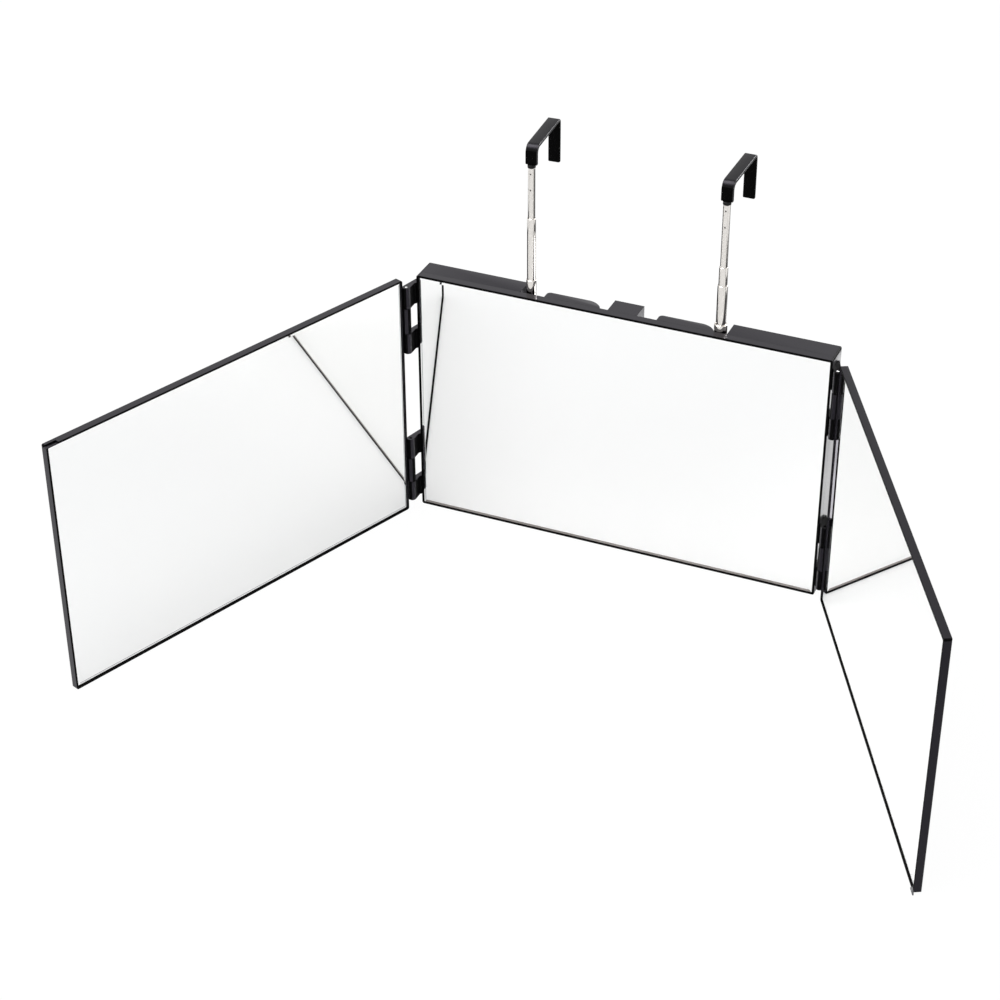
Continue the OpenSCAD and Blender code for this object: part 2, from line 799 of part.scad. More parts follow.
module left_outer_tube() { color(chrome) on_rod(-1) outer_tube(left_top0); }
module left_outer_bush() {
    color(bronze) on_rod(-1) friction_bush(guide_bore - 2 * tube_play, tube0_d, left_top0 - tube0_l);
}
module left_lower_tube() { color(chrome) on_rod(-1) lower_tube(left_top1); }
module left_lower_bush() {
    color(bronze) on_rod(-1) friction_bush(tube0_bore - 2 * tube_play, tube1_d, left_top1 - tube1_l);
}
module left_middle_tube() { color(chrome) on_rod(-1) middle_tube(left_top2); }
module left_middle_bush() {
    color(bronze) on_rod(-1) friction_bush(tube1_bore - 2 * tube_play, tube2_d, left_top2 - tube2_l);
}
module left_upper_tube() { color(chrome) on_rod(-1) upper_tube(left_top3); }
module left_upper_bush() {
    color(bronze) on_rod(-1) friction_bush(tube2_bore - 2 * tube_play, tube3_d, left_top3 - tube3_l);
}
module left_hook_stem() { color(dark_plastic) hooked(-1, left_top3, left_hook_turn) hook_stem(); }
module left_hook() { color(dark_plastic) hooked(-1, left_top3, left_hook_turn) hook_strap(); }

module right_outer_tube() { color(chrome) on_rod(1) outer_tube(right_top0); }
module right_outer_bush() {
    color(bronze) on_rod(1) friction_bush(guide_bore - 2 * tube_play, tube0_d, right_top0 - tube0_l);
}
module right_lower_tube() { color(chrome) on_rod(1) lower_tube(right_top1); }
module right_lower_bush() {
    color(bronze) on_rod(1) friction_bush(tube0_bore - 2 * tube_play, tube1_d, right_top1 - tube1_l);
}
module right_middle_tube() { color(chrome) on_rod(1) middle_tube(right_top2); }
module right_middle_bush() {
    color(bronze) on_rod(1) friction_bush(tube1_bore - 2 * tube_play, tube2_d, right_top2 - tube2_l);
}
module right_upper_tube() { color(chrome) on_rod(1) upper_tube(right_top3); }
module right_upper_bush() {
    color(bronze) on_rod(1) friction_bush(tube2_bore - 2 * tube_play, tube3_d, right_top3 - tube3_l);
}
module right_hook_stem() { color(dark_plastic) hooked(1, right_top3, right_hook_turn) hook_stem(); }
module right_hook() { color(dark_plastic) hooked(1, right_top3, right_hook_turn) hook_strap(); }

center_frame();
center_glass();
center_tape();
rear_housing();
housing_screws();
left_guide_tube();
right_guide_tube();
upper_left_hinge_pin();
lower_left_hinge_pin();
upper_right_hinge_pin();
lower_right_hinge_pin();
left_frame();
left_glass();
left_tape();
right_frame();
right_glass();
right_tape();
right_bumper();
left_outer_tube();
left_outer_bush();
left_lower_tube();
left_lower_bush();
left_middle_tube();
left_middle_bush();
left_upper_tube();
left_upper_bush();
left_hook_stem();
left_hook();
right_outer_tube();
right_outer_bush();
right_lower_tube();
right_lower_bush();
right_middle_tube();
right_middle_bush();
right_upper_tube();
right_upper_bush();
right_hook_stem();
right_hook();
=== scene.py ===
"""Folding makeup mirror with telescopic over-door hooks, dressed for rendering.

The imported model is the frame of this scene. Its plastic parts are dressed with softened
copies, and the glasses, tubes, straps, stems, pins and the corner pad with surfaces that are
computed here. Lengths are metres in the row frame: X along the centre panel, Y to its back
and Z up.
"""

import json
import logging
import math
from dataclasses import dataclass, replace
from enum import Enum
from typing import Callable, Optional

import bmesh
import bpy
import numpy as np
from mathutils import Matrix, Vector


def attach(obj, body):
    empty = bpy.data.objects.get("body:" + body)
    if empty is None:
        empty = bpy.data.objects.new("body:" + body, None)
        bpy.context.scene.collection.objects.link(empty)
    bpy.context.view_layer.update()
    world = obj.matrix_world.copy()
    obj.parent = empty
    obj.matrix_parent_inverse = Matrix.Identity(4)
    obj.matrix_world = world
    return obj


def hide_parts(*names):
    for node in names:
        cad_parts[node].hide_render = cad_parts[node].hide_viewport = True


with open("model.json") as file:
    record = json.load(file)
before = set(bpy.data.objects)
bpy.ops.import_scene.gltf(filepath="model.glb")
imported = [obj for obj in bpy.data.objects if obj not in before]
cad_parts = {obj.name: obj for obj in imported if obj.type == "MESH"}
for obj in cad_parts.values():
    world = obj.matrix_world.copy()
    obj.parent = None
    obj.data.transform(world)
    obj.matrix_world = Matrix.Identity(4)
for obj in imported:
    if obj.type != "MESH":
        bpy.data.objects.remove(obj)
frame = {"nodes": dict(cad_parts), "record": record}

logging.basicConfig(level=logging.INFO, format="%(levelname)s %(message)s")
LOG = logging.getLogger("mirror_scene")

MM = 0.001
MERGE = 1e-7
IMAGE_SIDE = 1000.0

Array = np.ndarray
Pair = tuple[float, float]
Triple = tuple[float, float, float]


class Slot(Enum):
    """Material slots of the record, one for each kind of dressed piece."""

    PLASTIC = "frame_plastic"
    MIRROR = "mirror_glass"
    CHROME = "chrome_tube"
    STRAP = "hook_strap"
    STEM = "hook_plastic"
    STEEL = "steel"
    RUBBER = "clear_rubber"


class Side(Enum):
    """The two sides of the mirror, with the sign of their X."""

    LEFT = -1
    RIGHT = 1

    @property
    def label(self) -> str:
        """Prefix of the node and body names of this side."""
        return self.name.lower()


# Measures


@dataclass(frozen=True)
class PanelMeasures:
    """Sizes of the mirror panels, in metres."""

    width: float = 300 * MM
    side_width: float = 301.4 * MM
    height: float = 188 * MM
    lip: float = 1.5 * MM
    recess: float = 0.2 * MM
    side_recess: float = 0.8 * MM
    glass: float = 3 * MM
    side_glass: float = 2.4 * MM
    glass_gap: float = 0.2 * MM
    glass_corner: float = 0.5 * MM
    front_y: float = -10.3 * MM


@dataclass(frozen=True)
class HingeMeasures:
    """Place of one side panel's hinge axis and its opening angle."""

    side: Side
    axis_y: float
    opening: float
    out: float = 154 * MM
    near_edge: float = 3.2 * MM
    face_offset: float = 0.3 * MM
    knuckle: float = 2.8 * MM

    def axis(self) -> Matrix:
        """Returns the place of the hinge axis."""
        return Matrix.Translation((self.side.value * self.out, self.axis_y, 0))

    def panel_matrix(self) -> Matrix:
        """Turns the panel's own frame into the row frame.

        In the panel's own frame X runs from the middle of the panel away from the hinge,
        Y from its front to its back and Z up. On the left side X is mirrored with the panel.

        Returns:
            The 4 by 4 matrix of the panel's place at rest.
        """
        turn = math.radians(180 - self.opening)
        sign = self.side.value
        along = Vector((sign * math.cos(turn), -math.sin(turn), 0))
        back = Vector((sign * math.sin(turn), math.cos(turn), 0))
        origin = Vector((sign * self.out, self.axis_y, 0))
        origin += along * (self.near_edge + PANEL.side_width / 2) + back * self.face_offset
        matrix = Matrix.Identity(4)
        matrix.col[0][:3] = along * sign
        matrix.col[1][:3] = back
        matrix.col[3][:3] = origin
        return matrix


PANEL = PanelMeasures()
HINGES = (
    HingeMeasures(Side.LEFT, axis_y=-18.3 * MM, opening=111.3),
    HingeMeasures(Side.RIGHT, axis_y=-11.5 * MM, opening=117.8),
)


@dataclass(frozen=True)
class CameraFit:
    """The camera that was fitted to the corners of the panels in the photograph."""

    azimuth: float = 21.52
    elevation: float = 34.79
    roll: float = 0.79
    target: Triple = (-32.68 * MM, -10.3 * MM, -23.36 * MM)
    distance: float = 1797.5 * MM
    focal_px: float = 2481.02
    centre_px: Pair = (70.33, 64.4)
    sensor: float = 36.0

    def make(self) -> None:
        """Creates the camera and makes it the scene's."""
        azimuth, elevation, roll = map(math.radians, (self.azimuth, self.elevation, self.roll))
        level = math.cos(elevation)
        back = Vector((math.sin(azimuth) * level, -math.cos(azimuth) * level, math.sin(elevation)))
        right = (-back).cross(Vector((0, 0, 1))).normalized()
        up = right.cross(-back)
        data = bpy.data.cameras.new("photo_camera")
        data.sensor_width = self.sensor
        data.lens = self.focal_px * self.sensor / IMAGE_SIDE
        data.shift_x = -self.centre_px[0] / IMAGE_SIDE
        data.shift_y = self.centre_px[1] / IMAGE_SIDE
        data.clip_start = 0.05
        data.clip_end = 50.0
        camera = bpy.data.objects.new("photo_camera", data)
        matrix = Matrix.Identity(4)
        matrix.col[0][:3] = right * math.cos(roll) + up * math.sin(roll)
        matrix.col[1][:3] = up * math.cos(roll) - right * math.sin(roll)
        matrix.col[2][:3] = back
        matrix.col[3][:3] = Vector(self.target) + back * self.distance
        camera.matrix_world = matrix
        bpy.context.scene.collection.objects.link(camera)
        bpy.context.scene.camera = camera


# Meshes


def ring_piece(
    name: str,
    rings: Array,
    place: Matrix,
    sharp_from: float,
    finish: Optional[Array] = None,
    closed: bool = False,
) -> bpy.types.Object:
    """Makes an object from closed rings of points, joined one after the other with quads.

    The quad of row i and column j has the corners (i, j), (i, j + 1), (i + 1, j + 1) and
    (i + 1, j), with j counted round the ring.

    Args:
        name: Name of the new object and its mesh.
        rings: Array of shape (rings, points, 3).
        place: Transform from the rings' own frame to the row frame.
        sharp_from: Angle in degrees from which an edge stays sharp.
        finish: Material slot of each row of quads or of each quad, or None for the first.
        closed: Whether the last ring is joined to the first one. Otherwise a face fills each.

    Returns:
        The new object, at the origin.
    """
    number, size, _ = rings.shape
    rows = np.arange(number if closed else number - 1)[:, None]
    column = np.arange(size)
    here, there, after = rows * size, (rows + 1) % number * size, (column + 1) % size
    quads = np.stack([here + column, here + after, there + after, there + column], axis=-1)
    faces = quads.reshape(-1, 4).tolist()
    slots = np.zeros((len(rows), 1)) if finish is None else np.reshape(finish, (len(rows), -1))
    face_slots = np.broadcast_to(slots, (len(rows), size)).ravel()
    if not closed:
        faces += [list(range(size - 1, -1, -1)), list(range((number - 1) * size, number * size))]
        face_slots = np.append(face_slots, slots[[0, -1], 0])
    spin = np.array(place)
    points = rings.reshape(-1, 3) @ spin[:3, :3].T + spin[:3, 3]
    mesh = bpy.data.meshes.new(name)
    mesh.from_pydata(points.tolist(), [], faces)
    mesh.polygons.foreach_set("material_index", face_slots.astype(np.int32))
    mesh.update()
    work = bmesh.new()
    work.from_mesh(mesh)
    bmesh.ops.remove_doubles(work, verts=work.verts, dist=MERGE)
    bmesh.ops.recalc_face_normals(work, faces=work.faces)
    work.to_mesh(mesh)
    work.free()
    obj = bpy.data.objects.new(name, mesh)
    bpy.context.scene.collection.objects.link(obj)
    shade_smooth(mesh, sharp_from)
    return obj


def shade_smooth(mesh: bpy.types.Mesh, degrees: float) -> None:
    """Shades a mesh smooth, with edges sharp from an angle in degrees."""
    mesh.polygons.foreach_set("use_smooth", np.ones(len(mesh.polygons), dtype=bool))
    mesh.set_sharp_from_angle(angle=math.radians(degrees))


def lathe(profile: Array, steps: int = 64) -> Array:
    """Turns a profile round the Z axis.

    The point of row i and turn t is (r cos t, r sin t, z), with r and z from the profile.

    Args:
        profile: Array of radius and height, one row a point.
        steps: Points around the axis.

    Returns:
        Rings of shape (profile points, steps, 3).
    """
    turn = np.linspace(0, 2 * np.pi, steps, endpoint=False)
    radius, height = profile[:, :1], profile[:, 1:]
    level = np.broadcast_to(height, (len(profile), steps))
    return np.stack([radius * np.cos(turn), radius * np.sin(turn), level], axis=-1)


def arc(centre: Pair, radius: float, start: float, end: float, steps: int = 4) -> Array:
    """Returns points on an arc as centre + radius (cos a, sin a), with a in degrees."""
    angle = np.radians(np.linspace(start, end, steps + 1))
    return np.column_stack([centre[0] + radius * np.cos(angle), centre[1] + radius * np.sin(angle)])


def rounded_sections(half_width: Array, half_height: Array, radius: Array, steps: int) -> Array:
    """Computes rectangles with round corners, one for each entry of the arrays.

    A corner's points are (sx (w - r) + r cos a, sy (h - r) + r sin a), where sx and sy are the
    signs of its quarter and a turns through 90 degrees.

    Args:
        half_width: Half width of each rectangle.
        half_height: Half height of each rectangle.
        radius: Corner radius of each rectangle.
        steps: Spans of each corner.

    Returns:
        Array of shape (rectangles, 4 * (steps + 1), 2), counter-clockwise.
    """
    signs = np.repeat([(1, -1), (1, 1), (-1, 1), (-1, -1)], steps + 1, axis=0)
    starts = np.repeat([-90.0, 0.0, 90.0, 180.0], steps + 1)
    angle = np.radians(starts + np.tile(np.linspace(0, 90, steps + 1), 4))
    width, height, corner = (v[:, None] for v in (half_width, half_height, radius))
    across = signs[:, 0] * (width - corner) + corner * np.cos(angle)
    along = signs[:, 1] * (height - corner) + corner * np.sin(angle)
    return np.stack([across, along], axis=-1)


# Finishes


class NodeGraph:
    """Small helper that adds and joins shader nodes in one tree."""

    def __init__(self, tree: bpy.types.NodeTree) -> None:
        self.tree = tree

    def add(self, kind: str, *sources: object, **values: object) -> bpy.types.Node:
        """Adds a node.

        Args:
            kind: Type name of the node, without its first word ShaderNode.
            sources: Outputs or values for its first inputs, as feed takes them.
            values: Its properties and further inputs, as feed takes them.

        Returns:
            The new node.
        """
        node = self.tree.nodes.new(f"ShaderNode{kind}")
        self.feed(node, *sources, **values)
        return node

    def feed(self, node: bpy.types.Node, *sources: object, **values: object) -> None:
        """Sets properties of a node, and sets or joins its inputs.

        Args:
            node: The node.
            sources: Outputs or values for its first inputs, in order.
            values: Values of properties, and outputs or values for inputs, by their name.
        """
        for key in [key for key in values if hasattr(node, key)]:
            setattr(node, key, values.pop(key))
        pairs = [*zip(sources, node.inputs)]
        pairs += [(value, node.inputs[key.replace("_", " ")]) for key, value in values.items()]
        for source, target in pairs:
            if isinstance(source, bpy.types.NodeSocket):
                self.tree.links.new(source, target)
            else:
                target.default_value = source

    def bump(self, height: bpy.types.NodeSocket, strength: float, depth: float) -> bpy.types.NodeSocket:
        """Returns the normal of a relief from its height, its strength and its real depth."""
        node = self.add("Bump", Strength=strength, Distance=depth, Height=height)
        return node.outputs["Normal"]


class ShaderGroups:
    """The two surface effects that several finishes share."""

    def __init__(self) -> None:
        self.grain = self._moulded_grain()
        self.polish = self._polish_lines()

    @staticmethod
    def _start(
        name: str, inputs: dict[str, object], outputs: tuple[str, ...]
    ) -> tuple[NodeGraph, bpy.types.Node, bpy.types.Node]:
        """Makes an empty shader node group.

        Args:
            name: Name of the group.
            inputs: Default of each input: four numbers for a colour, three for a vector.
            outputs: Names of the outputs, of which Color is a colour.

        Returns:
            The group's graph, its input node and its output node.
        """
        tree = bpy.data.node_groups.new(name, "ShaderNodeTree")
        kinds = {4: "NodeSocketColor", 3: "NodeSocketVector", 1: "NodeSocketFloat"}
        for label, value in inputs.items():
            kind = kinds[np.size(value)]
            tree.interface.new_socket(name=label, in_out="INPUT", socket_type=kind).default_value = value
        for label in outputs:
            kind = kinds[4 if label == "Color" else 1]
            tree.interface.new_socket(name=label, in_out="OUTPUT", socket_type=kind)
        graph = NodeGraph(tree)
        return graph, tree.nodes.new("NodeGroupInput"), tree.nodes.new("NodeGroupOutput")

    def _moulded_grain(self) -> bpy.types.NodeTree:
        """Builds fine eroded grain with slow changes of colour and gloss."""
        inputs = {
            "Base": (0.01, 0.01, 0.01, 1),
            "Tint": (0.02, 0.02, 0.02, 1),
            "Roughness": 0.3,
            "Grain Scale": 2600.0,
            "Grain Gloss": 0.08,
        }
        graph, group, made = self._start("moulded_grain", inputs, ("Color", "Roughness", "Height"))
        given = group.outputs
        place, scale = graph.add("TexCoord").outputs["Object"], given["Grain Scale"]
        fine = graph.add("TexNoise", Vector=place, Scale=scale, Detail=3.0, Roughness=0.6)
        slow = graph.add("TexNoise", Vector=place, Scale=22.0, Detail=4.0, Roughness=0.55)
        pits = graph.add("TexVoronoi", Vector=place, Scale=scale, Randomness=1.0)
        spread = graph.add("MapRange", slow.outputs["Fac"], From_Min=0.35, From_Max=0.65)
        colour = graph.add("Mix", data_type="RGBA")
        graph.feed(colour, Factor=spread.outputs["Result"], A=given["Base"], B=given["Tint"])
        centred = graph.add("MapRange", fine.outputs["Fac"], To_Min=-0.5, To_Max=0.5)
        terms = (centred.outputs["Result"], given["Grain Gloss"], given["Roughness"])
        gloss = graph.add("Math", *terms, operation="MULTIPLY_ADD")
        shallow = graph.add("MapRange", pits.outputs["Distance"], To_Max=0.35)
        terms = (shallow.outputs["Result"], fine.outputs["Fac"])
        height = graph.add("Math", *terms, operation="ADD")
        graph.feed(made, Color=colour.outputs["Result"], Roughness=gloss.outputs["Value"])
        graph.feed(made, Height=height.outputs["Value"])
        return graph.tree

    def _polish_lines(self) -> bpy.types.NodeTree:
        """Builds hairlines along one direction and a faint haze."""
        inputs = {"Stretch": (4000.0, 4000.0, 60.0), "Roughness": 0.06, "Line Gloss": 0.06}
        graph, group, made = self._start("polish_lines", inputs, ("Roughness", "Height"))
        given = group.outputs
        place = graph.add("TexCoord").outputs["Object"]
        stretch = graph.add("VectorMath", place, given["Stretch"], operation="MULTIPLY")
        lines = graph.add("TexNoise", stretch.outputs["Vector"], Scale=1.0, Detail=2.0)
        haze = graph.add("TexNoise", place, Scale=90.0, Detail=3.0)
        both = graph.add("Math", lines.outputs["Fac"], haze.outputs["Fac"], operation="MULTIPLY")
        terms = (both.outputs["Value"], given["Line Gloss"], given["Roughness"])
        gloss = graph.add("Math", *terms, operation="MULTIPLY_ADD")
        graph.feed(made, Roughness=gloss.outputs["Value"], Height=lines.outputs["Fac"])
        return graph.tree


def blank_material(name: str) -> tuple[bpy.types.Material, NodeGraph]:
    """Makes a material without nodes.

    Args:
        name: Name of the material.

    Returns:
        The material and its graph.
    """
    material = bpy.data.materials.new(name)
    material.use_nodes = True
    material.node_tree.nodes.clear()
    return material, NodeGraph(material.node_tree)


def principled(name: str) -> tuple[bpy.types.Material, NodeGraph, bpy.types.Node]:
    """Makes a material with a Principled shader.

    Args:
        name: Name of the material.

    Returns:
        The material, its graph and its shader node.
    """
    material, graph = blank_material(name)
    shader = graph.add("BsdfPrincipled")
    graph.add("OutputMaterial", shader.outputs["BSDF"])
    return material, graph, shader


@dataclass(frozen=True)
class PlasticFinish:
    """A moulded plastic, rubber, foam or satin paint."""

    name: str
    base: Triple
    tint: Triple
    roughness: float
    grain_scale: float = 2600.0
    grain_gloss: float = 0.08
    grain_depth: float = 0.1 * MM
    relief: float = 0.02
    specular: float = 0.5
    specular_tint: Triple = (1.0, 1.0, 1.0)
    transmission: float = 0.0

    def make(self, groups: ShaderGroups) -> bpy.types.Material:
        """Makes the material.

        Args:
            groups: The shared effects.

        Returns:
            The material.
        """
        material, graph, shader = principled(self.name)
        group = graph.add("Group", node_tree=groups.grain, Roughness=self.roughness)
        graph.feed(group, Base=(*self.base, 1), Tint=(*self.tint, 1))
        graph.feed(group, Grain_Scale=self.grain_scale, Grain_Gloss=self.grain_gloss)
        graph.feed(
            shader,
            Base_Color=group.outputs["Color"],
            Roughness=group.outputs["Roughness"],
            Specular_IOR_Level=self.specular,
            Specular_Tint=(*self.specular_tint, 1),
            Transmission_Weight=self.transmission,
            Normal=graph.bump(group.outputs["Height"], self.relief, self.grain_depth),
        )
        return material


@dataclass(frozen=True)
class MetalFinish:
    """A polished or brushed metal."""

    name: str
    base: Triple
    roughness: float
    stretch: Triple = (4000.0, 4000.0, 60.0)
    line_gloss: float = 0.06
    line_depth: float = 0.02 * MM
    relief: float = 0.01

    def make(self, groups: ShaderGroups) -> bpy.types.Material:
        """Makes the material.

        Args:
            groups: The shared effects.

        Returns:
            The material.
        """
        material, graph, shader = principled(self.name)
        group = graph.add("Group", node_tree=groups.polish, Roughness=self.roughness)
        graph.feed(group, Stretch=self.stretch, Line_Gloss=self.line_gloss)
        graph.feed(
            shader,
            Base_Color=(*self.base, 1),
            Metallic=1.0,
            Roughness=group.outputs["Roughness"],
            Normal=graph.bump(group.outputs["Height"], self.relief, self.line_depth),
        )
        return material


@dataclass(frozen=True)
class SilverFinish:
    """A silvered glass with barely any haze."""

    name: str
    tint: Triple
    most_haze: float = 0.0035

    def make(self, groups: ShaderGroups) -> bpy.types.Material:
        """Makes the material.

        Args:
            groups: Not used by this finish.

        Returns:
            The material.
        """
        material, graph, shader = principled(self.name)
        place = graph.add("TexCoord").outputs["Object"]
        haze = graph.add("TexNoise", place, Scale=14.0, Detail=4.0)
        spread = graph.add("MapRange", haze.outputs["Fac"], To_Max=self.most_haze)
        graph.feed(shader, Base_Color=(*self.tint, 1), Metallic=1.0)
        graph.feed(shader, Roughness=spread.outputs["Result"])
        return material


BLACK_PLASTIC = PlasticFinish(
    "satin_black_plastic", base=(0.0032, 0.0028, 0.0044), tint=(0.0044, 0.0040, 0.0058),
    roughness=0.17, relief=0.012, specular=0.37, specular_tint=(0.90, 0.84, 1.0)
)
BLACK_PAINT = PlasticFinish(
    "glossy_black_paint", base=(0.0030, 0.0028, 0.0035), tint=(0.0040, 0.0037, 0.0047),
    roughness=0.2, grain_scale=5200.0, grain_gloss=0.06, relief=0.004
)


class Finish(Enum):
    """Every finish of the mirror."""

    PLASTIC = BLACK_PLASTIC
    # Painted shade: a less glossy, darker-looking copy of the frame plastic, for the right frame only.
    SIDE_PLASTIC = replace(BLACK_PLASTIC, name="satin_black_side_plastic", roughness=0.2, specular=0.22)
    # Painted shade: a darker, less glossy copy of the plastic for front faces, rounded edges, ledges and
    # arm faces in shade.
    DULL_PLASTIC = PlasticFinish(
        "dull_black_plastic", base=(0.0012, 0.0011, 0.0013), tint=(0.0018, 0.0016, 0.0019),
        roughness=0.45, specular=0.03
    )
    PAINT = replace(
        BLACK_PAINT, name="satin_black_paint", roughness=0.3, relief=0.008, specular=0.125,
        specular_tint=(0.93, 0.88, 1.0)
    )
    # A glossier copy of the strap paint for one corner, a lit copy that catches a lamp's highlight line.
    GLOSS_PAINT = BLACK_PAINT
    # Painted shade: a half-dark copy of the strap paint for the front bend.
    HALF_PAINT = replace(
        BLACK_PAINT, name="half_dull_black_paint", base=(0.0016, 0.0015, 0.0017),
        tint=(0.0022, 0.0021, 0.0024), roughness=0.34, relief=0.008, specular=0.1
    )
    # Painted shade: the darkest copy of the strap paint, for the legs.
    DULL_PAINT = replace(
        BLACK_PAINT, name="dull_black_paint", base=(0.0010, 0.0009, 0.0010),
        tint=(0.0014, 0.0013, 0.0014), roughness=0.4, grain_gloss=0.08, relief=0.008, specular=0.03
    )
    STEM = PlasticFinish(
        "matte_black_plastic", base=(0.003, 0.003, 0.003), tint=(0.004, 0.004, 0.004),
        roughness=0.4, specular=0.2
    )
    RUBBER = PlasticFinish(
        "smoky_clear_rubber", base=(0.10, 0.10, 0.108), tint=(0.125, 0.125, 0.133), roughness=0.35,
        grain_scale=1500.0, transmission=0.3
    )
    FOAM = PlasticFinish(
        "foam_tape", base=(0.5, 0.5, 0.47), tint=(0.56, 0.56, 0.53), roughness=0.85,
        grain_scale=1400.0, relief=0.2, specular=0.2
    )
    # Painted shade: a brown-grey strip on the centre glass's bottom bevel, standing for the reflected
    # shaded floor.
    GROUND = PlasticFinish(
        "ground_glass_edge", base=(0.25, 0.225, 0.21), tint=(0.33, 0.30, 0.285), roughness=0.5,
        grain_scale=700.0, relief=0.0
    )
    CHROME = MetalFinish("polished_chrome", base=(0.76, 0.73, 0.695), roughness=0.06)
    # Painted shade: a dark chrome for the middles of the dents.
    PUNCHED = MetalFinish("punched_chrome", base=(0.09, 0.082, 0.078), roughness=0.3)
    STEEL = MetalFinish("bright_steel", base=(0.9, 0.9, 0.9), roughness=0.15, line_gloss=0.1)
    BRONZE = MetalFinish(
        "turned_bronze", base=(0.62, 0.42, 0.2), roughness=0.25, stretch=(60.0, 60.0, 6000.0),
        line_gloss=0.2
    )
    SILVER = SilverFinish("silvered_glass", tint=(0.99, 0.99, 0.985))
    # Painted shade: a darker copy of the silvered glass for the side panes.
    SIDE_SILVER = SilverFinish("silvered_side_glass", tint=(0.965, 0.967, 0.962))
    # Painted reflection: a darker silver for a thin line along some bevels.
    LINE = SilverFinish("bevel_line", tint=(0.36, 0.37, 0.38), most_haze=0.3)


# Pieces


class Dresser:
    """Puts pieces on their bodies and gives them their finishes."""

    def __init__(self) -> None:
        self.groups = ShaderGroups()
        self.made: dict[Finish, bpy.types.Material] = {}
        self.node_body = {
            node: body
            for body, nodes in frame["record"]["behaviour"]["bodies"].items()
            for node in nodes
        }

    def material(self, finish: Finish) -> bpy.types.Material:
        """Returns the material of a finish, made at its first use."""
        if finish not in self.made:
            self.made[finish] = finish.value.make(self.groups)
        return self.made[finish]

    def dress(self, piece: bpy.types.Object, node: str, slot: Slot, *finishes: Finish) -> None:
        """Lets a piece stand for a CAD node.

        Args:
            piece: The new piece.
            node: The CAD node that it replaces and whose body it rides on.
            slot: The record's material slot. Not used.
            finishes: Finishes of the piece's material slots.
        """
        for finish in finishes:
            piece.data.materials.append(self.material(finish))
        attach(piece, self.node_body[node])
        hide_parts(node)
        LOG.info("%s: %d faces, for %s", piece.name, len(piece.data.polygons), node)

    def carry(self, node: str, finish: Finish) -> None:
        """Gives a CAD node that stays in view a finished material.

        Args:
            node: Name of the CAD node.
            finish: Its finish.
        """
        mesh = frame["nodes"][node].data
        mesh.materials.clear()
        mesh.materials.append(self.material(finish))
        LOG.info("%s: kept, in %s", node, finish.value.name)


